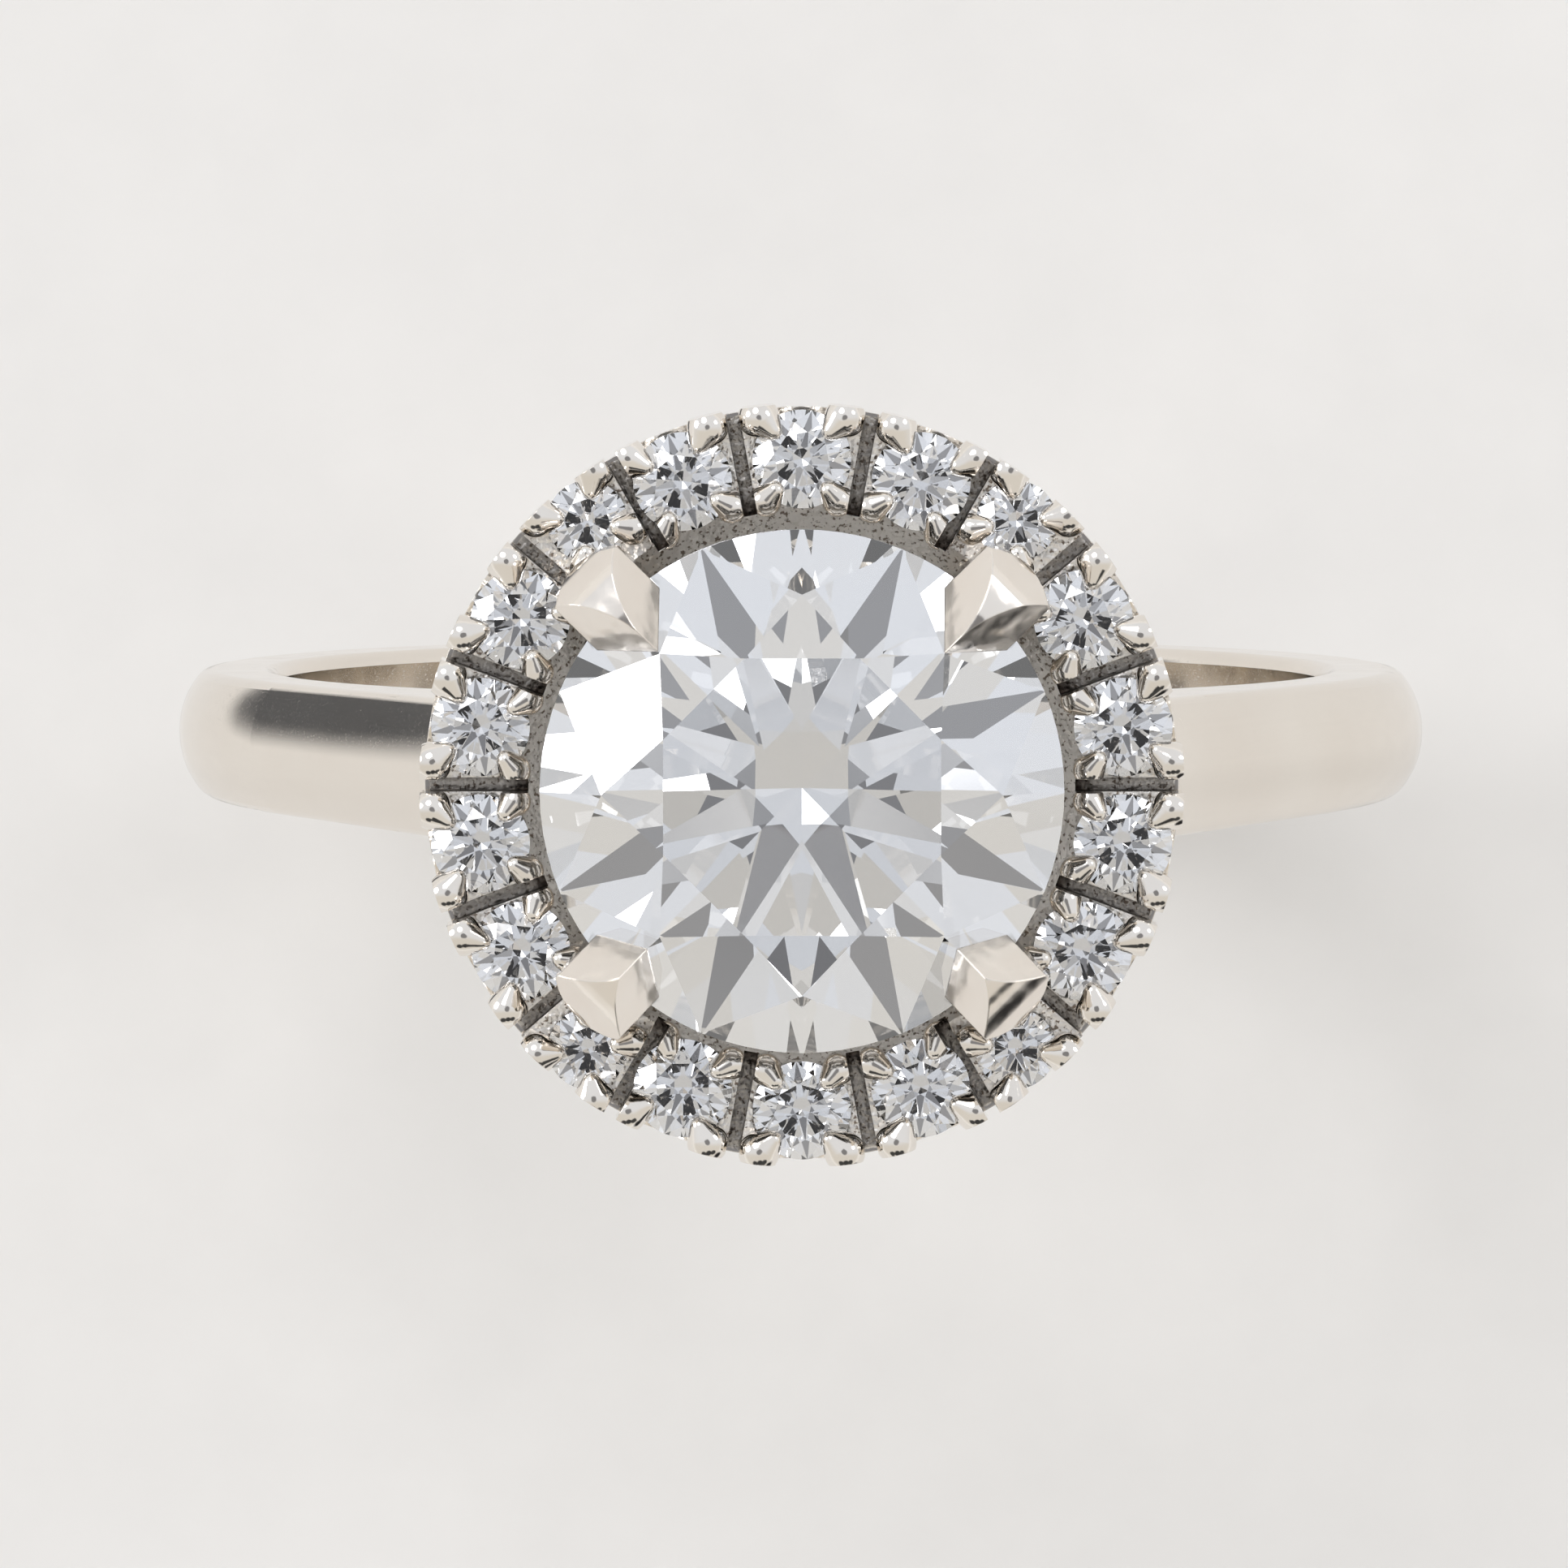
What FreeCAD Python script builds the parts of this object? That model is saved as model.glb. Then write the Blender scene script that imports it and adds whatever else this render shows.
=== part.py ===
"""Halo engagement ring: a round brilliant in four talon claws, inside a round halo of eighteen small
brilliants, on a plain polished cathedral shank.

Frame, in millimetres: the origin is the centre of the finger hole, +Y runs along the finger and +Z up
through the centre stone. The ring is built as a bench jeweller makes it: shank, finger bridge, base ring,
gallery rail, four claws and the halo are separate pieces soldered face to face, and every stone is a
piece of its own in a cut seat.
"""

import FreeCAD
import Part
import math
import os

from FreeCAD import Rotation, Vector

# Shank and finger bridge
FINGER_RADIUS = 8.05
BAND_THICKNESS = 1.5
BAND_WIDTH_TOP = 2.1
BAND_WIDTH_BASE = 1.72
BAND_DOME = 0.5  # how far the domed outside falls from its crest to its edge
SHOULDER_START = 30.0  # degrees above the horizontal where each shoulder leaves the circle
BRIDGE_START = 45.0  # degrees above the horizontal where the finger bridge begins
BRIDGE_THICKNESS = 1.05
BRIDGE_LIGHT_HOLE = 0.6  # radius of the hole under the culet
INNER_EDGE_ROUND = 0.2
OUTER_EDGE_ROUND = 0.3

# Head heights above the finger hole's centre
HALO_UNDERSIDE = 11.05
HALO_PLATE_TOP = 12.22
HALO_GIRDLE = 12.38
CENTRE_GIRDLE = 13.6
SHOULDER_INNER_X = 3.3  # where a shoulder's inner face meets the halo's underside

# Brilliant cut, as shares of the girdle diameter, and degrees
TABLE_SHARE = 0.57
CROWN_ANGLE = 34.5
PAVILION_ANGLE = 40.8
GIRDLE_SHARE = 0.03
STAR_SHARE = 0.5
LOWER_HALF_SHARE = 0.77
FACET_START = 22.5  # azimuth of the first main facet, which puts flats of the table square to X and Y

CENTRE_DIAMETER = 7.5
HALO_STONE_DIAMETER = 1.42
CORNER_STONE_DIAMETER = 1.16
HALO_STONE_RING = 4.7  # distance of the larger stones from the centre
CORNER_STONE_RING = 4.9
QUARTER_ANGLES = (10.3, 30.6, 51.0, 68.6)  # stone azimuths in one quarter, and one more stone at 90
CORNER_ANGLE = 51.0

# Halo frame
HALO_OUTER_RADIUS = 5.44
HALO_FOOT_RADIUS = 5.2
HALO_INNER_RADIUS = 4.04
APRON_RADIUS = 3.52  # the milled lip inside the halo, which reaches in under the centre stone
APRON_TOP = 11.8
SEAT_PLAY = 0.012
LIGHT_HOLE_SHARE = 0.42  # hole behind each halo stone, as a share of its radius
SLOT_WIDTH = 0.2
SLOT_START = 3.94
SLOT_FLOOR = 11.9
SCALLOP_RADIUS = 0.44
# Prongs: degrees from the stone's radial line, radius at the back, and how far the back stands off
OUTER_PRONG = (46.0, 0.3, 0.15)
INNER_PRONG = (41.0, 0.235, 0.08)
PRONG_BACK_TOP = 12.46  # centre of the prong's rounded back
PRONG_TIP_TOP = 12.56  # centre of its rounded tip, which lies on the crown
PRONG_TIP_RADIUS = 0.14
PRONG_FOOT_SHARE = 0.93  # the prong's straight foot is a little slimmer than its rounded back
PRONG_OVERLAP = 0.12  # how far the tip's centre reaches inside the stone's edge

# Gallery
BASE_RING_RADIUS = 2.05
BASE_RING_WIRE = 0.42
BASE_RING_Z = 9.24
RAIL_RADIUS = 2.98
RAIL_WIRE = 0.34
RAIL_Z = 11.36

# Claws: azimuth, and how far from the axis the tip ends
CLAWS = {
    "claw_right_back": (45.0, 2.82),
    "claw_left_back": (135.0, 2.86),
    "claw_left_front": (225.0, 3.12),
    "claw_right_front": (315.0, 3.12),
}
# A claw's side view, as (distance from the axis, height): outside from foot to tip, then inside
CLAW_FOOT_OUTSIDE = (2.44, 9.12)
CLAW_BEND_START = (4.42, 12.85)
CLAW_BACK = (4.57, 13.6)
CLAW_BEND_END = (4.14, 14.36)
CLAW_CREST = (3.68, 14.54)
CLAW_SEAT = (3.3, 13.5)
CLAW_SEAT_FOOT = (3.2, 12.5)
CLAW_FOOT_INSIDE = (1.86, 9.2)
CLAW_TIP_THICKNESS = 0.09
CLAW_HALF_WIDTH = 0.63
CLAW_FOOT_HALF_WIDTH = 0.29
CLAW_TIP_HALF_WIDTH = 0.02
# Two points that each side facet passes through beside the tip: on its ridge, and on the crown
CLAW_RIDGE = (3.92, 0.2, 14.46)
CLAW_FACET_FOOT = (3.56, 0.64, 13.82)
CLAW_BACK_ROUND = 1.0
CLAW_UPRIGHT_ROUND = 0.7

FAR = 40.0  # longer than the ring, for cutting tools
Y_AXIS = Vector(0, 1, 0)
Z_AXIS = Vector(0, 0, 1)


def polar(radius, degrees, z=0.0):
    """A point at a radius and azimuth in a level plane."""
    angle = math.radians(degrees)
    return Vector(radius * math.cos(angle), radius * math.sin(angle), z)


def in_side_view(radius, degrees, y=0.0):
    """A point at a radius and angle above +X in the plane that the finger passes through."""
    angle = math.radians(degrees)
    return Vector(radius * math.cos(angle), y, radius * math.sin(angle))


def finger_cylinder(radius, width):
    """A cylinder about the finger's axis, centred on the middle of the band."""
    return Part.makeCylinder(radius, width, Vector(0, -width / 2, 0), Y_AXIS)


def side_prism(points, width=FAR):
    """A prism across the band from an outline of (x, z) points."""
    outline = [Vector(x, -width / 2, z) for x, z in points]
    face = Part.Face(Part.makePolygon(outline + outline[:1]))
    return face.extrude(Vector(0, width, 0))


# ---------------------------------------------------------------- shank


def band_section(degrees):
    """The band's D section in the radial plane at an angle: domed outside, and deep enough to be bored."""
    outer = FINGER_RADIUS + BAND_THICKNESS
    half = BAND_WIDTH_TOP / 2
    deep = FINGER_RADIUS - BAND_THICKNESS / 2
    edge = outer - BAND_DOME
    a = in_side_view(deep, degrees, -half)
    b = in_side_view(edge, degrees, -half)
    crest = in_side_view(outer, degrees)
    c = in_side_view(edge, degrees, half)
    d = in_side_view(deep, degrees, half)
    dome = Part.Arc(b, crest, c).toShape()
    sides = [Part.makeLine(a, b), dome, Part.makeLine(c, d), Part.makeLine(d, a)]
    return Part.Face(Part.Wire(sides))


def space_between_shoulders():
    """Everything between the two shoulders' inner faces, above the finger hole's centre."""
    corner = in_side_view(FINGER_RADIUS, BRIDGE_START)
    rise = (FAR - corner.z) / (HALO_UNDERSIDE - corner.z)
    far_x = corner.x + (SHOULDER_INNER_X - corner.x) * min(rise, 1.4)
    far_z = corner.z + (HALO_UNDERSIDE - corner.z) * min(rise, 1.4)
    return side_prism([(corner.x, corner.z), (far_x, far_z), (-far_x, far_z), (-corner.x, corner.z)])


def width_taper():
    """The band narrows from its shoulders to its base."""
    top, base = HALO_UNDERSIDE, -(FINGER_RADIUS + BAND_THICKNESS)
    wide, narrow = BAND_WIDTH_TOP / 2, BAND_WIDTH_BASE / 2
    corners = [(-narrow, base), (narrow, base), (wide, top), (-wide, top)]
    outline = [Vector(-FAR / 2, y, z) for y, z in corners]
    return Part.Face(Part.makePolygon(outline + outline[:1])).extrude(Vector(FAR, 0, 0))


def make_shank():
    """One D wire: round the finger, then straight up on each side to the halo's underside."""
    sweep = 180.0 + 2 * SHOULDER_START
    hoop = band_section(SHOULDER_START).revolve(Vector(0, 0, 0), Y_AXIS, sweep)
    lean = math.radians(SHOULDER_START)
    right_way = Vector(-math.sin(lean), 0, math.cos(lean)) * HALO_UNDERSIDE
    left_way = Vector(math.sin(lean), 0, math.cos(lean)) * HALO_UNDERSIDE
    right = band_section(SHOULDER_START).extrude(right_way)
    left = band_section(180.0 - SHOULDER_START).extrude(left_way)
    wire = hoop.fuse([right, left]).removeSplitter()
    above_halo = Part.makeBox(FAR, FAR, FAR, Vector(-FAR / 2, -FAR / 2, HALO_UNDERSIDE))
    bored = wire.cut([finger_cylinder(FINGER_RADIUS, FAR), space_between_shoulders(), above_halo])
    shank = bored.common(width_taper())
    dome_foot = FINGER_RADIUS + BAND_THICKNESS - BAND_DOME
    dome_edges = [e for e in long_edges(shank, dome_foot, FAR) if e.Curve.TypeId != "Part::GeomLine"]
    return round_finger_edges(shank.makeFillet(OUTER_EDGE_ROUND, dome_edges))


def make_finger_bridge():
    """The curved strip that closes the finger hole under the head, with a hole for light and cleaning."""
    strip = finger_cylinder(FINGER_RADIUS + BRIDGE_THICKNESS, BAND_WIDTH_TOP - 0.1)
    strip = strip.cut(finger_cylinder(FINGER_RADIUS, FAR))
    bridge = strip.common(space_between_shoulders())
    bridge = bridge.cut(Part.makeCylinder(BRIDGE_LIGHT_HOLE, FAR))
    return round_finger_edges(bridge)


def long_edges(shape, nearest, farthest):
    """The edges that run along the band's sides, with their middles in a range from the finger's axis."""
    found = []
    for edge in shape.Edges:
        middle = edge.valueAt((edge.FirstParameter + edge.LastParameter) / 2)
        beside = abs(middle.y) > BAND_WIDTH_BASE / 2 - 0.05 and edge.Length > 2.0
        if beside and nearest < math.hypot(middle.x, middle.z) < farthest:
            found.append(edge)
    return found


def round_finger_edges(shape):
    """Rounds the two long edges that touch the finger."""
    return shape.makeFillet(INNER_EDGE_ROUND, long_edges(shape, FINGER_RADIUS - 0.01, FINGER_RADIUS + 0.01))


# ---------------------------------------------------------------- stones


def half_space(through, normal):
    """A large block whose face passes through a point and whose body lies on the normal's side."""
    block = Part.makeBox(FAR, FAR, FAR, Vector(-FAR / 2, -FAR / 2, 0))
    turned = block.copy()
    turned.Placement = FreeCAD.Placement(through, Rotation(Z_AXIS, normal))
    return turned


def facet_normal(p, q, r, inside):
    """The outward normal of the plane through three points of a stone."""
    normal = (q - p).cross(r - p).normalize()
    return normal if normal.dot(p - inside) > 0 else normal * -1


def cut_stone(diameter):
    """A 57-facet round brilliant about the Z axis, with the middle of its girdle at z = 0."""
    radius = diameter / 2
    table = radius * TABLE_SHARE
    band = diameter * GIRDLE_SHARE / 2
    crown_slope = math.tan(math.radians(CROWN_ANGLE))
    pavilion_slope = math.tan(math.radians(PAVILION_ANGLE))
    crown_top = band + (radius - table) * crown_slope
    culet = -band - radius * pavilion_slope
    half_step = math.cos(math.radians(22.5))
    table_flat = table * half_step
    star_radius = table_flat + (radius - table_flat) * STAR_SHARE
    star_z = band + (radius - star_radius * half_step) * crown_slope
    lower_radius = radius * (1 - LOWER_HALF_SHARE)
    lower_z = -band - (radius - lower_radius * half_step) * pavilion_slope
    inside = Vector(0, 0, 0)

    stone = Part.makeCylinder(radius, crown_top - culet, Vector(0, 0, culet))
    cuts = []
    for k in range(8):
        main = FACET_START + 45.0 * k
        kite_top = polar(table, main, crown_top)
        kite_foot = polar(radius, main, band)
        across = polar(1.0, main + 90.0)
        cuts.append((kite_foot, facet_normal(kite_foot, kite_top, kite_foot + across, inside)))
        keel_foot = polar(radius, main, -band)
        point = Vector(0, 0, culet)
        cuts.append((keel_foot, facet_normal(keel_foot, point, keel_foot + across, inside)))
        star = polar(star_radius, main + 22.5, star_z)
        next_top = polar(table, main + 45.0, crown_top)
        cuts.append((star, facet_normal(star, kite_top, next_top, inside)))
        for side in (-22.5, 22.5):
            star = polar(star_radius, main + side, star_z)
            girdle_top = polar(radius, main + side, band)
            cuts.append((star, facet_normal(star, kite_foot, girdle_top, inside)))
            lower = polar(lower_radius, main + side, lower_z)
            girdle_foot = polar(radius, main + side, -band)
            cuts.append((lower, facet_normal(lower, keel_foot, girdle_foot, inside)))
    for through, normal in cuts:
        stone = stone.cut(half_space(through, normal))
    return stone


def set_stone(stone, at, turn):
    """A copy of a stone turned about its own axis and moved to its seat."""
    placed = stone.copy()
    placed.Placement = FreeCAD.Placement(at, Rotation(Z_AXIS, turn))
    return placed


# ---------------------------------------------------------------- claws


def crown_height(radius):
    """The height of the centre stone's crown above the finger hole's centre, at a radius."""
    edge = CENTRE_GIRDLE + CENTRE_DIAMETER * GIRDLE_SHARE / 2
    return edge + (CENTRE_DIAMETER / 2 - radius) * math.tan(math.radians(CROWN_ANGLE))


def claw_blank(tip_radius):
    """The claw's side view, cut from plate as wide as the claw, with its tip towards the axis."""
    flat = -CLAW_HALF_WIDTH
    foot_out, bend, back, over, crest, seat, seat_foot, foot_in = (
        Vector(x, flat, z)
        for x, z in (
            CLAW_FOOT_OUTSIDE,
            CLAW_BEND_START,
            CLAW_BACK,
            CLAW_BEND_END,
            CLAW_CREST,
            CLAW_SEAT,
            CLAW_SEAT_FOOT,
            CLAW_FOOT_INSIDE,
        )
    )
    tip_foot = Vector(tip_radius, flat, crown_height(tip_radius) - 0.03)
    tip = tip_foot + Z_AXIS * (CLAW_TIP_THICKNESS + 0.03)
    outline = [
        Part.makeLine(foot_out, bend),
        Part.Arc(bend, back, over).toShape(),
        Part.Arc(over, crest, tip).toShape(),
        Part.makeLine(tip, tip_foot),
        Part.makeLine(tip_foot, seat),
        Part.makeLine(seat, seat_foot),
        Part.makeLine(seat_foot, foot_in),
        Part.makeLine(foot_in, foot_out),
    ]
    return Part.Face(Part.Wire(outline)).extrude(Vector(0, 2 * CLAW_HALF_WIDTH, 0))


def outside_of_bar(on_axis, along, radius):
    """What lies further out than a round bar's axis and outside the bar: it rounds a claw's back."""
    block = half_space(on_axis, Vector(along.z, 0, -along.x))
    return block.cut(Part.makeCylinder(radius, 2 * FAR, on_axis - along * FAR, along))


def make_claw(azimuth, tip_radius):
    """A talon claw: a tapering upright that hooks over the girdle, with two side facets filed to a point."""
    claw = claw_blank(tip_radius)
    foot = Vector(CLAW_FOOT_OUTSIDE[0], 0, CLAW_FOOT_OUTSIDE[1])
    bend = Vector(CLAW_BEND_START[0], 0, CLAW_BEND_START[1])
    along = (bend - foot).normalize()
    inward = Vector(-along.z, 0, along.x)
    cuts = [
        outside_of_bar(Vector(CLAW_BACK[0] - CLAW_BACK_ROUND, 0, 0), Z_AXIS, CLAW_BACK_ROUND),
        outside_of_bar(foot + inward * CLAW_UPRIGHT_ROUND, along, CLAW_UPRIGHT_ROUND),
    ]
    for side in (-1, 1):
        tip = Vector(tip_radius, side * CLAW_TIP_HALF_WIDTH, crown_height(tip_radius) + CLAW_TIP_THICKNESS)
        ridge = Vector(CLAW_RIDGE[0], side * CLAW_RIDGE[1], CLAW_RIDGE[2])
        facet_foot = Vector(CLAW_FACET_FOOT[0], side * CLAW_FACET_FOOT[1], CLAW_FACET_FOOT[2])
        middle = Vector(facet_foot.x, 0, facet_foot.z)
        cuts.append(half_space(tip, facet_normal(tip, ridge, facet_foot, middle)))
        low = Vector(0, side * CLAW_FOOT_HALF_WIDTH, CLAW_FOOT_OUTSIDE[1])
        high = Vector(0, side * CLAW_HALF_WIDTH, CLAW_BEND_START[1])
        cuts.append(half_space(low, facet_normal(low, high, low + Vector(1, 0, 0), Vector(0, 0, low.z))))
    return claw.cut(cuts).rotate(Vector(0, 0, 0), Z_AXIS, azimuth)


# ---------------------------------------------------------------- halo


def halo_seats():
    """Each halo stone's place: (azimuth, distance from the centre, diameter), anticlockwise from +X."""
    quarter = []
    for angle in QUARTER_ANGLES:
        corner = angle == CORNER_ANGLE
        ring = CORNER_STONE_RING if corner else HALO_STONE_RING
        quarter.append((angle, ring, CORNER_STONE_DIAMETER if corner else HALO_STONE_DIAMETER))
    top = (90.0, HALO_STONE_RING, HALO_STONE_DIAMETER)
    right_half = [(-a, r, d) for a, r, d in reversed(quarter)] + quarter
    left_half = [(180.0 - a, r, d) for a, r, d in reversed(quarter)]
    left_half += [(180.0 + a, r, d) for a, r, d in quarter]
    return right_half + [top] + left_half + [(270.0, top[1], top[2])]


def halo_plate():
    """The turned blank: sloping outer wall, flat underside, and a lower lip inside."""
    profile = [
        (APRON_RADIUS, HALO_UNDERSIDE),
        (HALO_FOOT_RADIUS, HALO_UNDERSIDE),
        (HALO_OUTER_RADIUS, APRON_TOP),
        (HALO_OUTER_RADIUS, HALO_PLATE_TOP),
        (HALO_INNER_RADIUS, HALO_PLATE_TOP),
        (APRON_RADIUS, APRON_TOP),
    ]
    outline = [Vector(r, 0, z) for r, z in profile]
    face = Part.Face(Part.makePolygon(outline + outline[:1]))
    return face.revolve(Vector(0, 0, 0), Z_AXIS, 360)


def seat_tools(azimuth, ring, diameter):
    """What is drilled for one stone: the seat's wall, its bearing cone, and the light hole behind it."""
    at = polar(ring, azimuth)
    radius = diameter / 2 + SEAT_PLAY
    band = diameter * GIRDLE_SHARE / 2
    bearing = HALO_GIRDLE - band - SEAT_PLAY
    hole = radius * LIGHT_HOLE_SHARE
    depth = (radius - hole) * math.tan(math.radians(PAVILION_ANGLE))
    foot = at + Z_AXIS * (bearing - depth)
    wall = Part.makeCylinder(radius, 1.0, at + Z_AXIS * bearing)
    cone = Part.makeCone(hole, radius, depth, foot)
    light = Part.makeCylinder(hole, FAR / 2, foot - Z_AXIS * (FAR / 2))
    return [wall, cone, light]


def scallop_tool(azimuth, ring, diameter):
    """A round file stroke that lowers the outer wall in front of one stone."""
    start = polar(ring + diameter / 2 - 0.2, azimuth, HALO_PLATE_TOP + 0.08)
    return Part.makeCylinder(SCALLOP_RADIUS * diameter / HALO_STONE_DIAMETER, 1.0, start, polar(1.0, azimuth))


def slot_tool(azimuth):
    """A radial saw cut between two stones, which splits the prongs there."""
    blade = Part.makeBox(2.2, SLOT_WIDTH, 1.0, Vector(SLOT_START, -SLOT_WIDTH / 2, SLOT_FLOOR))
    return blade.rotate(Vector(0, 0, 0), Z_AXIS, azimuth)


def tapered_pin(back, back_radius, tip, tip_radius):
    """A pin with rounded ends of two radii, from one centre to the other."""
    length = (tip - back).Length
    lean = math.asin((back_radius - tip_radius) / length)
    half = (lean - math.pi / 2) / 2

    def on_back(angle):
        return Vector(back_radius * math.cos(angle), 0, back_radius * math.sin(angle))

    def on_tip(angle):
        return Vector(tip_radius * math.cos(angle), 0, length + tip_radius * math.sin(angle))

    outline = [
        Part.Arc(on_back(-math.pi / 2), on_back(half), on_back(lean)).toShape(),
        Part.makeLine(on_back(lean), on_tip(lean)),
        Part.Arc(on_tip(lean), on_tip((lean + math.pi / 2) / 2), on_tip(math.pi / 2)).toShape(),
        Part.makeLine(on_tip(math.pi / 2), on_back(-math.pi / 2)),
    ]
    pin = Part.Face(Part.Wire(outline)).revolve(Vector(0, 0, 0), Z_AXIS, 360)
    pin.Placement = FreeCAD.Placement(back, Rotation(-Z_AXIS, Vector(), tip - back, "ZXY"))
    return pin


def prongs(azimuth, ring, diameter):
    """The four prongs that hold one halo stone, before the stone's shape is cut from them."""
    centre = polar(ring, azimuth)
    made = []
    for facing, (spread, radius, stand_off) in ((0.0, OUTER_PRONG), (180.0, INNER_PRONG)):
        for side in (-spread, spread):
            direction = azimuth + facing + side
            back = centre + polar(diameter / 2 + stand_off, direction, PRONG_BACK_TOP)
            tip = centre + polar(diameter / 2 - PRONG_OVERLAP, direction, PRONG_TIP_TOP)
            foot = Vector(back.x, back.y, SLOT_FLOOR)
            made.append(Part.makeCylinder(radius * PRONG_FOOT_SHARE, PRONG_BACK_TOP - SLOT_FLOOR, foot))
            made.append(tapered_pin(back, radius, tip, PRONG_TIP_RADIUS))
    return made


def make_halo_frame(seats, stones, claws):
    """The halo: a plate with seats, scallops, split prongs, and notches where the claws pass."""
    plate = halo_plate()
    tools = [t for seat in seats for t in seat_tools(*seat)]
    tools += [scallop_tool(*seat) for seat in seats]
    plate = plate.cut(tools)
    plate = plate.fuse([p for seat in seats for p in prongs(*seat)])
    gaps = [(a[0] + b[0]) / 2 for a, b in zip(seats, seats[1:])]
    gaps.append((seats[-1][0] + seats[0][0] + 360.0) / 2)
    plate = plate.cut([slot_tool(g) for g in gaps])
    outside = Part.makeCylinder(FAR / 2, FAR, Vector(0, 0, 0))
    outside = outside.cut(Part.makeCylinder(HALO_OUTER_RADIUS + 0.06, FAR, Vector(0, 0, 0)))
    plate = plate.cut(outside)
    return plate.cut(list(stones) + list(claws))


# ---------------------------------------------------------------- assembly


def largest(shape):
    """The shape's largest solid: chips that a cut left loose are swept away."""
    return max(shape.Solids, key=lambda s: s.Volume)


def build():
    """Every piece by name."""
    shank = make_shank()
    bridge = make_finger_bridge()
    centre_stone = set_stone(cut_stone(CENTRE_DIAMETER), Vector(0, 0, CENTRE_GIRDLE), 0.0)
    claws = {name: largest(make_claw(*claw).cut(centre_stone)) for name, claw in CLAWS.items()}

    seats = halo_seats()
    cut = {d: cut_stone(d) for d in {seat[2] for seat in seats}}
    stones = [
        set_stone(cut[d], polar(ring, azimuth, HALO_GIRDLE), azimuth + 7.0 * number)
        for number, (azimuth, ring, d) in enumerate(seats)
    ]
    halo = make_halo_frame(seats, stones, claws.values())

    base_ring = Part.makeTorus(BASE_RING_RADIUS, BASE_RING_WIRE, Vector(0, 0, BASE_RING_Z))
    base_ring = base_ring.cut([bridge, *claws.values()])
    rail = Part.makeTorus(RAIL_RADIUS, RAIL_WIRE, Vector(0, 0, RAIL_Z))
    rail = rail.cut([shank, *claws.values()])

    pieces = {
        "shank": shank,
        "finger_bridge": bridge,
        "base_ring": base_ring,
        "gallery_rail": rail,
        **claws,
        "halo_frame": halo,
        "centre_stone": centre_stone,
    }
    pieces.update({f"halo_stone_{number:02d}": stone for number, stone in enumerate(stones, 1)})
    return {name: largest(shape) for name, shape in pieces.items()}


def main():
    os.makedirs("parts", exist_ok=True)
    for name, shape in build().items():
        print(name, "solids", len(shape.Solids), "valid", shape.isValid(), "volume", round(shape.Volume, 3))
        shape.exportStep(f"parts/{name}.step")


main()
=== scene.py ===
import math

import bpy
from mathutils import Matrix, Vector


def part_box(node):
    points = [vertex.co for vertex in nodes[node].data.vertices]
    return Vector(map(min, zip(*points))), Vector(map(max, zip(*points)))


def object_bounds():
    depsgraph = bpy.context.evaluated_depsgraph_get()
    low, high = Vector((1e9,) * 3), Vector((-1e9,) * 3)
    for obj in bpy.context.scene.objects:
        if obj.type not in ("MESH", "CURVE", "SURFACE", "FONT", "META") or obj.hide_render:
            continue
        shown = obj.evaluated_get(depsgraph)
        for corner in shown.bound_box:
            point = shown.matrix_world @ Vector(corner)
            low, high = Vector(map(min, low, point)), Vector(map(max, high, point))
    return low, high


# Looks of a halo engagement ring in polished white gold, all in metres in the ring's own frame:
# +Z goes up through the centre stone and +Y runs along the finger.

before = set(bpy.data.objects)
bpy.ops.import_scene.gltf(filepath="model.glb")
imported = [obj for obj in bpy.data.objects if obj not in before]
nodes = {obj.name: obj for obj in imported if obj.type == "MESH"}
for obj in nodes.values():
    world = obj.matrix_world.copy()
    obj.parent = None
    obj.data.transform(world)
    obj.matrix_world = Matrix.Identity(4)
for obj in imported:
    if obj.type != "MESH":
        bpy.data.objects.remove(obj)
cadBox = [list(corner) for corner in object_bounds()]
mm = 0.001
print("frame loaded:", len(nodes), "pieces")

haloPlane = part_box("halo_stone_05")[1].z  # top of a halo stone, where the camera aims


# ---- small tools

def toLinear(hexText):
    # sRGB hex to the linear colour that shaders want
    channels = [int(hexText[i:i + 2], 16) / 255 for i in (1, 3, 5)]
    return [c / 12.92 if c <= 0.04045 else ((c + 0.055) / 1.055) ** 2.4 for c in channels] + [1.0]


def addNode(tree, kind, settings={}, inputs={}):
    # one node with its settings, its values and its links
    node = tree.nodes.new(kind)
    for name, value in settings.items():
        setattr(node, name, value)
    for name, value in inputs.items():
        if isinstance(value, bpy.types.NodeSocket):
            tree.links.new(value, node.inputs[name])
        else:
            node.inputs[name].default_value = value
    return node


def startMaterial(name):
    material = bpy.data.materials.new(name)
    material.use_nodes = True
    tree = material.node_tree
    tree.nodes.clear()
    output = tree.nodes.new("ShaderNodeOutputMaterial")
    shader = tree.nodes.new("ShaderNodeBsdfPrincipled")
    tree.links.new(shader.outputs["BSDF"], output.inputs["Surface"])
    # object coordinates turned to millimetres, so every pattern's scale is a real size
    place = addNode(tree, "ShaderNodeTexCoord")
    inMillimetres = addNode(tree, "ShaderNodeMapping", {}, {
        "Vector": place.outputs["Object"], "Scale": (1 / mm, 1 / mm, 1 / mm)})
    return material, tree, shader, inMillimetres.outputs["Vector"]


def giveMaterial(nodeNames, material):
    for nodeName in nodeNames:
        piece = nodes[nodeName]
        if not piece.material_slots:
            piece.data.materials.append(material)
        for slot in piece.material_slots:
            slot.material = material


# ---- polished white gold

shankGold = {"gold": "#F0EBE3", "shade": "#E4DCD2", "cloud": 0.35, "roughness": 0.06, "smear": 1.4,
             "smearRoughness": 0.06, "scratchLength": 3.2, "scratchWidth": 0.035, "scratchRoughness": 0.16,
             "scratchDepth": 0.004, "bump": 0.05}


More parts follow.
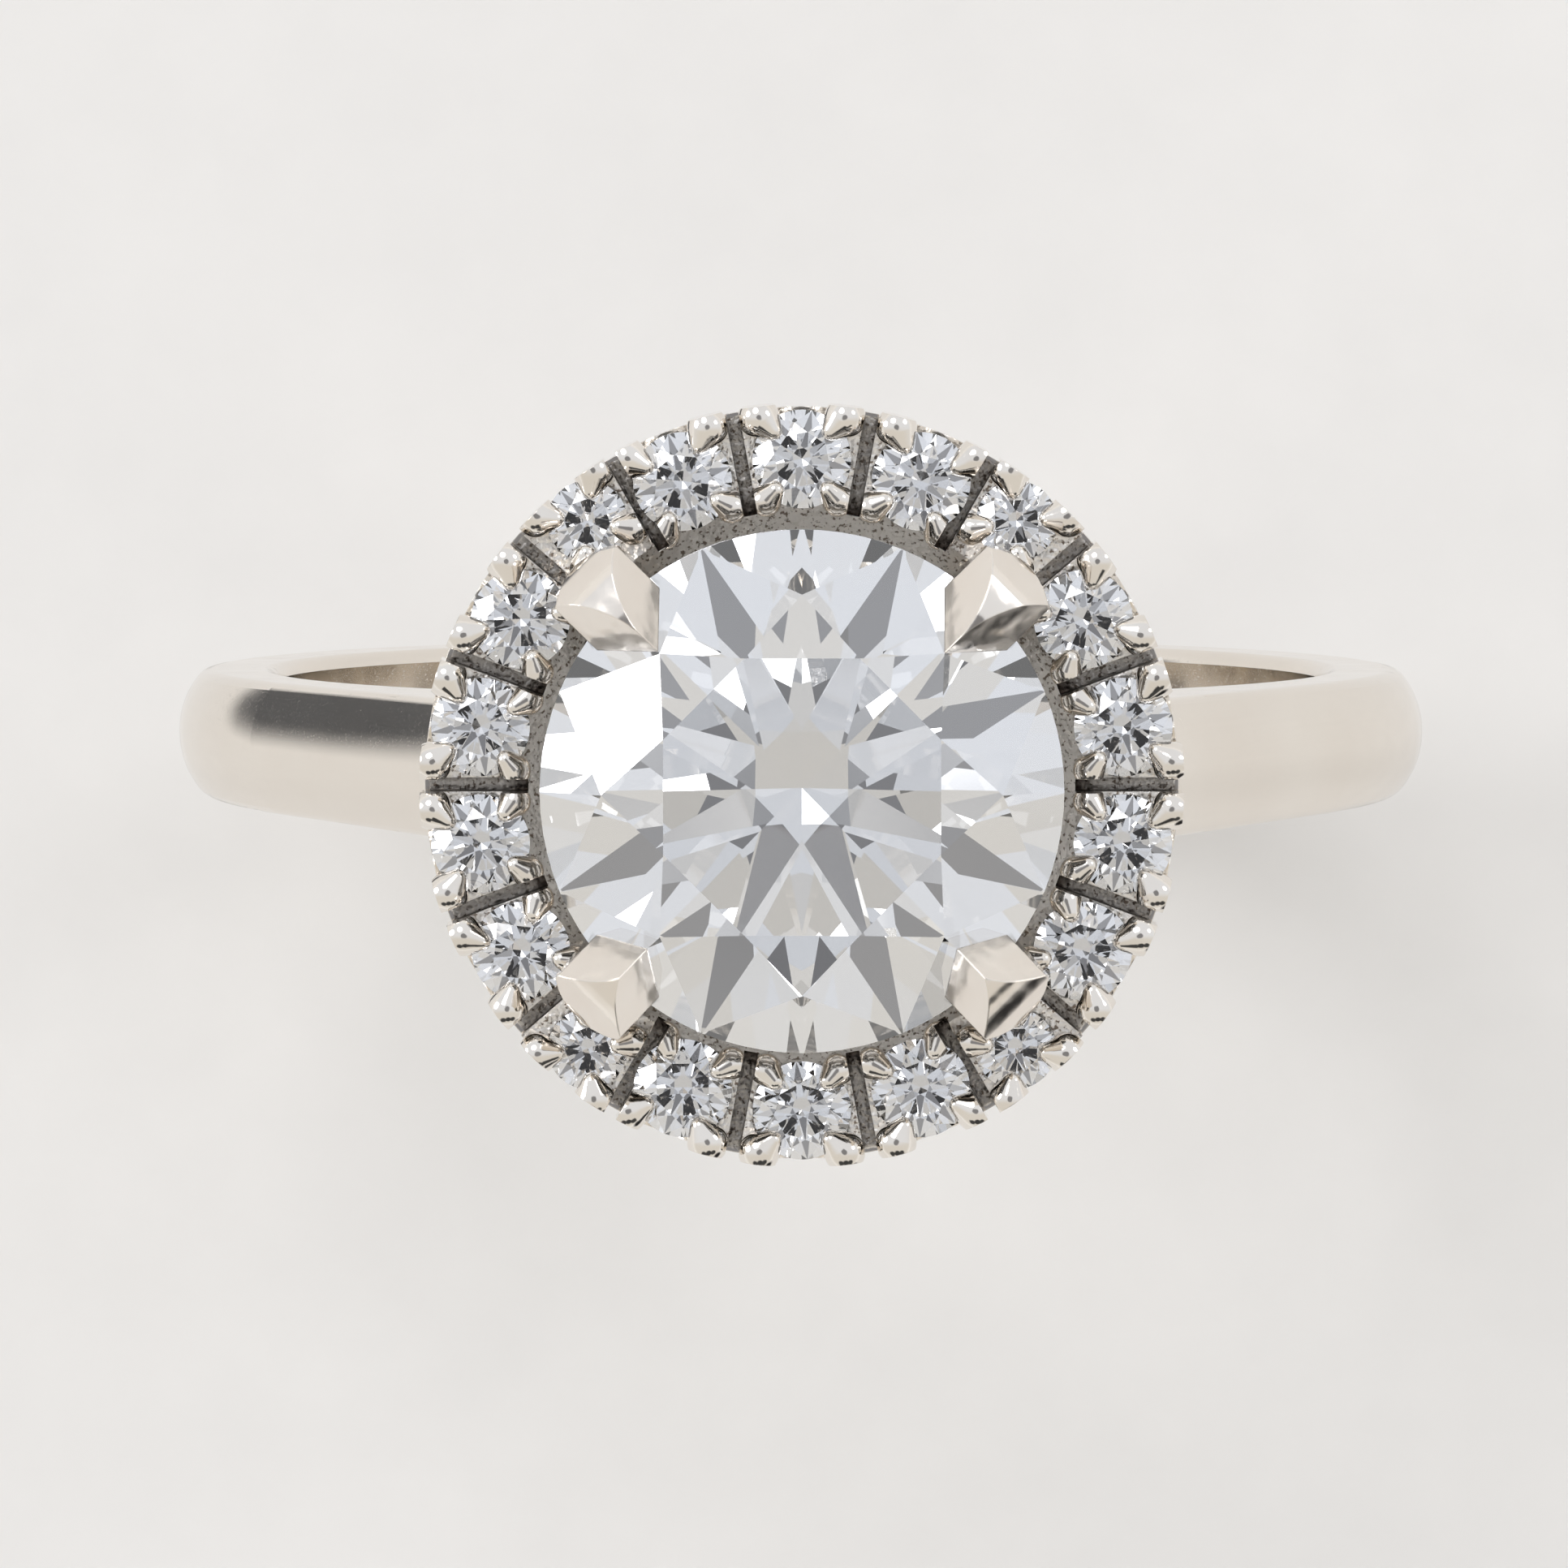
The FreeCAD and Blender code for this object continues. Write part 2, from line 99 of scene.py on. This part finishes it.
def addScratches(tree, place, turn, amount):
    # fine wear lines: noise stretched along one direction and cut to its thin ridges
    length, width = shankGold["scratchLength"], shankGold["scratchWidth"]
    turned = addNode(tree, "ShaderNodeMapping", {}, {
        "Vector": place, "Rotation": turn, "Scale": (1 / length, 1 / width, 1 / width)})
    noise = addNode(tree, "ShaderNodeTexNoise", {}, {
        "Vector": turned.outputs["Vector"], "Scale": 1.0, "Detail": 2.0, "Roughness": 0.6})
    ridge = addNode(tree, "ShaderNodeMapRange", {}, {
        "Value": noise.outputs["Fac"], "From Min": 0.62, "From Max": 0.7, "To Min": 0.0, "To Max": amount})
    return ridge.outputs["Result"]


def makeWornWhiteGold():
    # rhodium-plated 18 carat white gold, buffed: mirror bright, faintly warm, with hairline wear
    material, tree, shader, place = startMaterial("worn_white_gold")
    cloud = addNode(tree, "ShaderNodeTexNoise", {}, {
        "Vector": place, "Scale": shankGold["cloud"], "Detail": 3.0})
    tint = addNode(tree, "ShaderNodeMix", {"data_type": "RGBA"}, {
        "Factor": cloud.outputs["Fac"], "A": toLinear(shankGold["gold"]), "B": toLinear(shankGold["shade"])})
    along = addScratches(tree, place, (0.3, 0.1, 0.2), 1.0)
    across = addScratches(tree, place, (0.9, 0.7, 1.3), 0.8)
    both = addNode(tree, "ShaderNodeMath", {"operation": "MAXIMUM"}, {0: along, 1: across})
    smear = addNode(tree, "ShaderNodeTexNoise", {}, {
        "Vector": place, "Scale": shankGold["smear"], "Detail": 4.0})
    gloss = addNode(tree, "ShaderNodeMapRange", {}, {
        "Value": smear.outputs["Fac"], "From Min": 0.3, "From Max": 0.7,
        "To Min": shankGold["roughness"], "To Max": shankGold["roughness"] + shankGold["smearRoughness"]})
    rough = addNode(tree, "ShaderNodeMath", {"operation": "MULTIPLY_ADD"}, {
        0: both.outputs[0], 1: shankGold["scratchRoughness"], 2: gloss.outputs["Result"]})
    bump = addNode(tree, "ShaderNodeBump", {"invert": True}, {
        "Height": both.outputs[0], "Strength": shankGold["bump"], "Distance": shankGold["scratchDepth"] * mm})
    shader.inputs["Metallic"].default_value = 1.0
    tree.links.new(tint.outputs["Result"], shader.inputs["Base Color"])
    tree.links.new(rough.outputs[0], shader.inputs["Roughness"])
    tree.links.new(bump.outputs["Normal"], shader.inputs["Normal"])
    return material


clawGold = {"gold": "#F3EEE7", "shade": "#E8DFD5", "cloud": 1.2, "roughness": 0.08, "smear": 5.0,
            "smearRoughness": 0.09, "edge": 0.035, "strokes": 2.6, "strokeDepth": 0.03, "bump": 0.35}


def makeBurnishedWhiteGold():
    # white gold filed to facets and burnished: softened ridges, slight unevenness from the burnisher
    material, tree, shader, place = startMaterial("burnished_white_gold")
    cloud = addNode(tree, "ShaderNodeTexNoise", {}, {
        "Vector": place, "Scale": clawGold["cloud"], "Detail": 3.0})
    tint = addNode(tree, "ShaderNodeMix", {"data_type": "RGBA"}, {
        "Factor": cloud.outputs["Fac"], "A": toLinear(clawGold["gold"]), "B": toLinear(clawGold["shade"])})
    smear = addNode(tree, "ShaderNodeTexNoise", {}, {
        "Vector": place, "Scale": clawGold["smear"], "Detail": 4.0})
    gloss = addNode(tree, "ShaderNodeMapRange", {}, {
        "Value": smear.outputs["Fac"], "From Min": 0.3, "From Max": 0.7,
        "To Min": clawGold["roughness"], "To Max": clawGold["roughness"] + clawGold["smearRoughness"]})
    softEdge = addNode(tree, "ShaderNodeBevel", {"samples": 4}, {"Radius": clawGold["edge"] * mm})
    strokes = addNode(tree, "ShaderNodeTexNoise", {}, {
        "Vector": place, "Scale": clawGold["strokes"], "Detail": 1.0})
    bump = addNode(tree, "ShaderNodeBump", {}, {
        "Height": strokes.outputs["Fac"], "Strength": clawGold["bump"],
        "Distance": clawGold["strokeDepth"] * mm, "Normal": softEdge.outputs["Normal"]})
    shader.inputs["Metallic"].default_value = 1.0
    tree.links.new(tint.outputs["Result"], shader.inputs["Base Color"])
    tree.links.new(gloss.outputs["Result"], shader.inputs["Roughness"])
    tree.links.new(bump.outputs["Normal"], shader.inputs["Normal"])
    return material


# the two slot colours are painted shade, near-black browns put into the saw cuts, and the reach is how far the
# ambient occlusion that finds those cuts looks, in millimetres
haloGold = {"gold": "#F3EFE9", "shade": "#E6DFD6", "cloud": 1.5, "cut": "#F4F0EA", "fleck": "#8A7E73",
            "paintedSlotShade": "#120F0D", "paintedSlotShadeBrown": "#40362E", "roughness": 0.06, "cutRoughness": 0.36, "edge": 0.02,
            "chatter": 9.0, "chatterDepth": 0.035, "compound": 16.0, "paintedShadeReach": 0.3,
            # the cut metal lies between these two heights and inside this radius, all in millimetres
            "cutTop": 12.24, "topBlend": 0.06, "cutFloor": 11.75, "floorBlend": 0.05,
            "wall": 5.36, "wallBlend": 0.04}


def makeCutDownWhiteGoldWithPaintedShade():
    # white gold cut down by graver and saw: bright prongs, a milled lip, and rough metal in the saw cuts,
    # coloured near-black there as painted shade where ambient occlusion finds the cuts
    material, tree, shader, place = startMaterial("cut_down_white_gold_with_painted_shade")
    parts = addNode(tree, "ShaderNodeSeparateXYZ", {}, {"Vector": place})
    below = addNode(tree, "ShaderNodeMapRange", {}, {
        "Value": parts.outputs["Z"], "From Min": haloGold["cutTop"],
        "From Max": haloGold["cutTop"] + haloGold["topBlend"], "To Min": 1.0, "To Max": 0.0})
    above = addNode(tree, "ShaderNodeMapRange", {}, {
        "Value": parts.outputs["Z"], "From Min": haloGold["cutFloor"] - haloGold["floorBlend"],
        "From Max": haloGold["cutFloor"], "To Min": 0.0, "To Max": 1.0})
    flat = addNode(tree, "ShaderNodeCombineXYZ", {}, {"X": parts.outputs["X"], "Y": parts.outputs["Y"]})
    radius = addNode(tree, "ShaderNodeVectorMath", {"operation": "LENGTH"}, {0: flat.outputs["Vector"]})
    inside = addNode(tree, "ShaderNodeMapRange", {}, {
        "Value": radius.outputs["Value"], "From Min": haloGold["wall"],
        "From Max": haloGold["wall"] + haloGold["wallBlend"], "To Min": 1.0, "To Max": 0.0})
    heights = addNode(tree, "ShaderNodeMath", {"operation": "MULTIPLY"}, {
        0: below.outputs["Result"], 1: above.outputs["Result"]})
    cut = addNode(tree, "ShaderNodeMath", {"operation": "MULTIPLY"}, {
        0: heights.outputs[0], 1: inside.outputs["Result"]})
    cloud = addNode(tree, "ShaderNodeTexNoise", {}, {
        "Vector": place, "Scale": haloGold["cloud"], "Detail": 3.0})
    bright = addNode(tree, "ShaderNodeMix", {"data_type": "RGBA"}, {
        "Factor": cloud.outputs["Fac"], "A": toLinear(haloGold["gold"]), "B": toLinear(haloGold["shade"])})
    # graver chatter, about 0.1 mm from mark to mark, with dark flecks where polishing compound is left
    chatter = addNode(tree, "ShaderNodeTexNoise", {}, {
        "Vector": place, "Scale": haloGold["chatter"], "Detail": 1.5, "Roughness": 0.5})
    compound = addNode(tree, "ShaderNodeTexNoise", {}, {
        "Vector": place, "Scale": haloGold["compound"], "Detail": 4.0})
    flecks = addNode(tree, "ShaderNodeMapRange", {}, {
        "Value": compound.outputs["Fac"], "From Min": 0.36, "From Max": 0.44})
    graved = addNode(tree, "ShaderNodeMix", {"data_type": "RGBA"}, {
        "Factor": flecks.outputs["Result"], "A": toLinear(haloGold["fleck"]), "B": toLinear(haloGold["cut"])})
    # painted shade for the saw cuts: two near-black browns mixed by the same flecks
    paintedSlotShade = addNode(tree, "ShaderNodeMix", {"data_type": "RGBA"}, {
        "Factor": flecks.outputs["Result"], "A": toLinear(haloGold["paintedSlotShade"]),
        "B": toLinear(haloGold["paintedSlotShadeBrown"])})
    # painted shade: the saw cuts are the places that their own walls shade most, found by ambient occlusion and
    # coloured near-black there
    shelter = addNode(tree, "ShaderNodeAmbientOcclusion", {"samples": 8, "only_local": True}, {
        "Distance": haloGold["paintedShadeReach"] * mm})
    paintedShadeMask = addNode(tree, "ShaderNodeMapRange", {}, {
        "Value": shelter.outputs["AO"], "From Min": 0.34, "From Max": 0.56, "To Min": 1.0, "To Max": 0.0})
    # cut metal where the walls stand open, painted shade where the ambient occlusion finds a saw cut
    rough = addNode(tree, "ShaderNodeMix", {"data_type": "RGBA"}, {
        "Factor": paintedShadeMask.outputs["Result"], "A": graved.outputs["Result"], "B": paintedSlotShade.outputs["Result"]})
    colour = addNode(tree, "ShaderNodeMix", {"data_type": "RGBA"}, {
        "Factor": cut.outputs[0], "A": bright.outputs["Result"], "B": rough.outputs["Result"]})
    gloss = addNode(tree, "ShaderNodeMapRange", {}, {
        "Value": cut.outputs[0], "To Min": haloGold["roughness"], "To Max": haloGold["cutRoughness"]})
    softEdge = addNode(tree, "ShaderNodeBevel", {"samples": 4}, {"Radius": haloGold["edge"] * mm})
    depth = addNode(tree, "ShaderNodeMapRange", {}, {"Value": cut.outputs[0], "To Min": 0.03, "To Max": 1.0})
    bump = addNode(tree, "ShaderNodeBump", {}, {
        "Height": chatter.outputs["Fac"], "Strength": depth.outputs["Result"],
        "Distance": haloGold["chatterDepth"] * mm, "Normal": softEdge.outputs["Normal"]})
    shader.inputs["Metallic"].default_value = 1.0
    tree.links.new(colour.outputs["Result"], shader.inputs["Base Color"])
    tree.links.new(gloss.outputs["Result"], shader.inputs["Roughness"])
    tree.links.new(bump.outputs["Normal"], shader.inputs["Normal"])
    return material


galleryGold = {"gold": "#E9E1D6", "shade": "#D2C8BB", "cloud": 0.9, "roughness": 0.14, "grain": 9.0,
               "grainRoughness": 0.14, "grainDepth": 0.02, "bump": 0.2}


def makeCastWhiteGold():
    # cast white gold, pin-polished where a wheel can't reach: softer gloss with faint casting grain
    material, tree, shader, place = startMaterial("cast_white_gold")
    cloud = addNode(tree, "ShaderNodeTexNoise", {}, {
        "Vector": place, "Scale": galleryGold["cloud"], "Detail": 4.0})
    tint = addNode(tree, "ShaderNodeMix", {"data_type": "RGBA"}, {
        "Factor": cloud.outputs["Fac"], "A": toLinear(galleryGold["gold"]),
        "B": toLinear(galleryGold["shade"])})
    grain = addNode(tree, "ShaderNodeTexNoise", {}, {
        "Vector": place, "Scale": galleryGold["grain"], "Detail": 5.0, "Roughness": 0.65})
    gloss = addNode(tree, "ShaderNodeMapRange", {}, {
        "Value": grain.outputs["Fac"], "From Min": 0.3, "From Max": 0.7,
        "To Min": galleryGold["roughness"], "To Max": galleryGold["roughness"] + galleryGold["grainRoughness"]})
    bump = addNode(tree, "ShaderNodeBump", {}, {
        "Height": grain.outputs["Fac"], "Strength": galleryGold["bump"],
        "Distance": galleryGold["grainDepth"] * mm})
    shader.inputs["Metallic"].default_value = 1.0
    tree.links.new(tint.outputs["Result"], shader.inputs["Base Color"])
    tree.links.new(gloss.outputs["Result"], shader.inputs["Roughness"])
    tree.links.new(bump.outputs["Normal"], shader.inputs["Normal"])
    return material


# ---- diamonds

diamond = {"body": "#FFFFFF", "centreVeil": "#F8FAFD", "haloVeil": "#F4F6FB", "cloud": 0.8, "ior": 2.417,
           "polishLines": 40.0, "polishRoughness": 0.02}


def makeBrilliant(name, veil):
    # colourless diamond, cut and polished: water-clear, no haze, with lap lines too fine to feel
    material, tree, shader, place = startMaterial(name)
    cloud = addNode(tree, "ShaderNodeTexNoise", {}, {"Vector": place, "Scale": diamond["cloud"], "Detail": 2.0})
    tint = addNode(tree, "ShaderNodeMix", {"data_type": "RGBA"}, {
        "Factor": cloud.outputs["Fac"], "A": toLinear(diamond["body"]), "B": toLinear(veil)})
    lap = addNode(tree, "ShaderNodeTexNoise", {}, {
        "Vector": place, "Scale": diamond["polishLines"], "Detail": 2.0})
    gloss = addNode(tree, "ShaderNodeMapRange", {}, {
        "Value": lap.outputs["Fac"], "From Min": 0.6, "From Max": 0.8,
        "To Min": 0.0, "To Max": diamond["polishRoughness"]})
    shader.inputs["Transmission Weight"].default_value = 1.0
    shader.inputs["IOR"].default_value = diamond["ior"]
    tree.links.new(tint.outputs["Result"], shader.inputs["Base Color"])
    tree.links.new(gloss.outputs["Result"], shader.inputs["Roughness"])
    return material


giveMaterial(["shank"], makeWornWhiteGold())
giveMaterial([name for name in nodes if name.startswith("claw")], makeBurnishedWhiteGold())
giveMaterial(["halo_frame"], makeCutDownWhiteGoldWithPaintedShade())
giveMaterial(["finger_bridge", "base_ring", "gallery_rail"], makeCastWhiteGold())
giveMaterial(["centre_stone"], makeBrilliant("polished_diamond", diamond["centreVeil"]))
haloStones = [name for name in nodes if name.startswith("halo_stone")]
giveMaterial(haloStones, makeBrilliant("polished_melee_diamond", diamond["haloVeil"]))
print("materials given")


# ---- floor, light and camera

studio = {
    "floorSize": 2.0, "floor": "#EDEBE8", "fibre": 0.6, "strength": 1.03,
    "cool": (0.82, 0.84, 0.88, 1), "warm": (0.74, 0.71, 0.66, 1), "horizon": (0.93, 0.92, 0.9, 1),
    # each patch: its direction, where its edge starts and ends in degrees, and its light
    "patches": {
        "window": ((-0.876, 0.293, 0.382), 11, 13, (7.0, 7.0, 7.1, 1)),
        "upperPanes": ((-0.3, 0.62, 0.72), 12, 14, (4.2, 4.2, 4.3, 1)),
        "whiteCard": ((0.72, 0.45, 0.53), 8, 9, (4.0, 4.0, 4.0, 1)),
        "cameraShade": ((0.0, 0.07, 1.0), 12, 15, (0.24, 0.24, 0.25, 1)),
        "darkCloth": ((0.1, -0.8, 0.58), 11, 15, (0.05, 0.05, 0.05, 1)),
        "darkClothLeft": ((-0.28, -0.82, 0.48), 10, 14, (0.06, 0.06, 0.06, 1)),
        "darkClothRight": ((0.45, -0.74, 0.48), 10, 14, (0.06, 0.06, 0.06, 1)),
    },
}


def makeFloor():
    # matt cotton paper: no gloss, and a faint mottle from its fibres
    bpy.ops.object.select_all(action="DESELECT")
    bpy.ops.mesh.primitive_plane_add(size=studio["floorSize"], location=(0, 0, cadBox[0][2]))
    floor = bpy.context.object
    floor.name = "floor"
    material, tree, shader, place = startMaterial("matt_paper")
    fibre = addNode(tree, "ShaderNodeTexNoise", {}, {"Vector": place, "Scale": studio["fibre"], "Detail": 6.0})
    tint = addNode(tree, "ShaderNodeMapRange", {"data_type": "FLOAT"}, {
        "Value": fibre.outputs["Fac"], "To Min": 0.97, "To Max": 1.03})
    colour = addNode(tree, "ShaderNodeMix", {"data_type": "RGBA", "blend_type": "MULTIPLY"}, {
        "Factor": 1.0, "A": toLinear(studio["floor"]), "B": tint.outputs["Result"]})
    shader.inputs["Roughness"].default_value = 0.9
    tree.links.new(colour.outputs["Result"], shader.inputs["Base Color"])
    floor.data.materials.append(material)


# where each felt board stands, how far it is turned, its width and height, in millimetres and degrees
flags = {
    "right_flag": {"felt": "#0B0B0C", "nap": 3.0, "where": (36, -53, 7.5), "turn": 34, "size": (42, 46)},
    "left_flag": {"felt": "#66686C", "nap": 3.0, "where": (-15.5, 7.5, -2.0), "turn": 56, "size": (20, 13)},
}


def makeFlag(name, board):
    # only polished faces see it: it puts a dark edge into the right claws and the left shoulder, and it is
    # thin felt that lets light through towards its rim, so its reflection fades out
    material, tree, shader, place = startMaterial(name + "_felt")
    nap = addNode(tree, "ShaderNodeTexNoise", {}, {"Vector": place, "Scale": board["nap"], "Detail": 5.0})
    tint = addNode(tree, "ShaderNodeMapRange", {}, {"Value": nap.outputs["Fac"], "To Min": 0.7, "To Max": 1.3})
    colour = addNode(tree, "ShaderNodeMix", {"data_type": "RGBA", "blend_type": "MULTIPLY"}, {
        "Factor": 1.0, "A": toLinear(board["felt"]), "B": tint.outputs["Result"]})
    share = addNode(tree, "ShaderNodeVectorMath", {"operation": "DIVIDE"}, {
        0: place, 1: (board["size"][0] / 2, board["size"][1] / 2, 1)})
    fromMiddle = addNode(tree, "ShaderNodeVectorMath", {"operation": "LENGTH"}, {0: share.outputs["Vector"]})
    density = addNode(tree, "ShaderNodeMapRange", {"interpolation_type": "SMOOTHSTEP"}, {
        "Value": fromMiddle.outputs["Value"], "From Min": 0.45, "From Max": 1.0, "To Min": 1.0, "To Max": 0.0})
    shader.inputs["Roughness"].default_value = 0.95
    tree.links.new(colour.outputs["Result"], shader.inputs["Base Color"])
    tree.links.new(density.outputs["Result"], shader.inputs["Alpha"])
    bpy.ops.object.select_all(action="DESELECT")
    bpy.ops.mesh.primitive_plane_add(size=1)
    flag = bpy.context.object
    flag.name = name
    flag.scale = (board["size"][0] * mm, board["size"][1] * mm, 1)
    bpy.ops.object.transform_apply(location=False, rotation=False, scale=True)
    flag.rotation_euler = (math.pi / 2, 0, math.radians(board["turn"]))
    flag.location = [value * mm for value in board["where"]]
    flag.visible_camera = False
    flag.visible_diffuse = False
    flag.visible_shadow = False
    flag.data.materials.append(material)


def addPatch(tree, direction, towards, inner, outer, colourSoFar, value):
    # a soft-edged round patch of light or dark in one direction of the light tent
    centre = Vector(towards).normalized()
    dot = addNode(tree, "ShaderNodeVectorMath", {"operation": "DOT_PRODUCT"}, {0: direction, 1: tuple(centre)})
    mask = addNode(tree, "ShaderNodeMapRange", {"interpolation_type": "SMOOTHSTEP"}, {
        "Value": dot.outputs["Value"], "From Min": math.cos(math.radians(outer)),
        "From Max": math.cos(math.radians(inner))})
    mix = addNode(tree, "ShaderNodeMix", {"data_type": "RGBA"}, {
        "Factor": mask.outputs["Result"], "A": colourSoFar, "B": value})
    return mix.outputs["Result"]


def makeLightTent():
    # an evenly lit tent, cool behind and warm in front, with a window, a white card and dark cloths in it
    world = bpy.data.worlds.new("light_tent")
    bpy.context.scene.world = world
    world.use_nodes = True
    tree = world.node_tree
    tree.nodes.clear()
    output = tree.nodes.new("ShaderNodeOutputWorld")
    place = addNode(tree, "ShaderNodeTexCoord")
    direction = place.outputs["Generated"]
    parts = addNode(tree, "ShaderNodeSeparateXYZ", {}, {"Vector": direction})
    side = addNode(tree, "ShaderNodeMapRange", {"interpolation_type": "SMOOTHSTEP"}, {
        "Value": parts.outputs["Y"], "From Min": -0.35, "From Max": 0.15})
    overhead = addNode(tree, "ShaderNodeMix", {"data_type": "RGBA"}, {
        "Factor": side.outputs["Result"], "A": studio["warm"], "B": studio["cool"]})
    height = addNode(tree, "ShaderNodeMapRange", {}, {
        "Value": parts.outputs["Z"], "From Min": 0.05, "From Max": 0.3})
    tent = addNode(tree, "ShaderNodeMix", {"data_type": "RGBA"}, {
        "Factor": height.outputs["Result"], "A": studio["horizon"], "B": overhead.outputs["Result"]})
    colour = tent.outputs["Result"]
    for towards, inner, outer, value in studio["patches"].values():
        colour = addPatch(tree, direction, towards, inner, outer, colour, value)
    light = addNode(tree, "ShaderNodeBackground", {}, {"Color": colour, "Strength": studio["strength"]})
    tree.links.new(light.outputs["Background"], output.inputs["Surface"])


# how far off the camera hangs, how far it leans back from straight down, and the width that it sees there
lens = {"distance": 180 * mm, "tilt": 4.0, "field": 22.54 * mm, "aimX": -0.257 * mm, "aimY": 0.035 * mm,
        "sensor": 36, "near": 0.01, "far": 10}


def makeCamera():
    camera = bpy.data.cameras.new("camera")
    seen = bpy.data.objects.new("camera", camera)
    bpy.context.scene.collection.objects.link(seen)
    tilt = math.radians(lens["tilt"])
    aim = Vector((lens["aimX"], lens["aimY"], haloPlane))
    back = Vector((0, math.sin(tilt), math.cos(tilt)))
    seen.location = aim + back * lens["distance"]
    seen.rotation_euler = (-tilt, 0, 0)
    camera.sensor_width = lens["sensor"]
    camera.lens = camera.sensor_width * lens["distance"] / lens["field"]
    camera.clip_start = lens["near"]
    camera.clip_end = lens["far"]
    bpy.context.scene.camera = seen


bpy.context.scene.view_settings.view_transform = "Standard"
makeFloor()
for name, board in flags.items():
    makeFlag(name, board)
makeLightTent()
makeCamera()
print("floor, light and camera made")
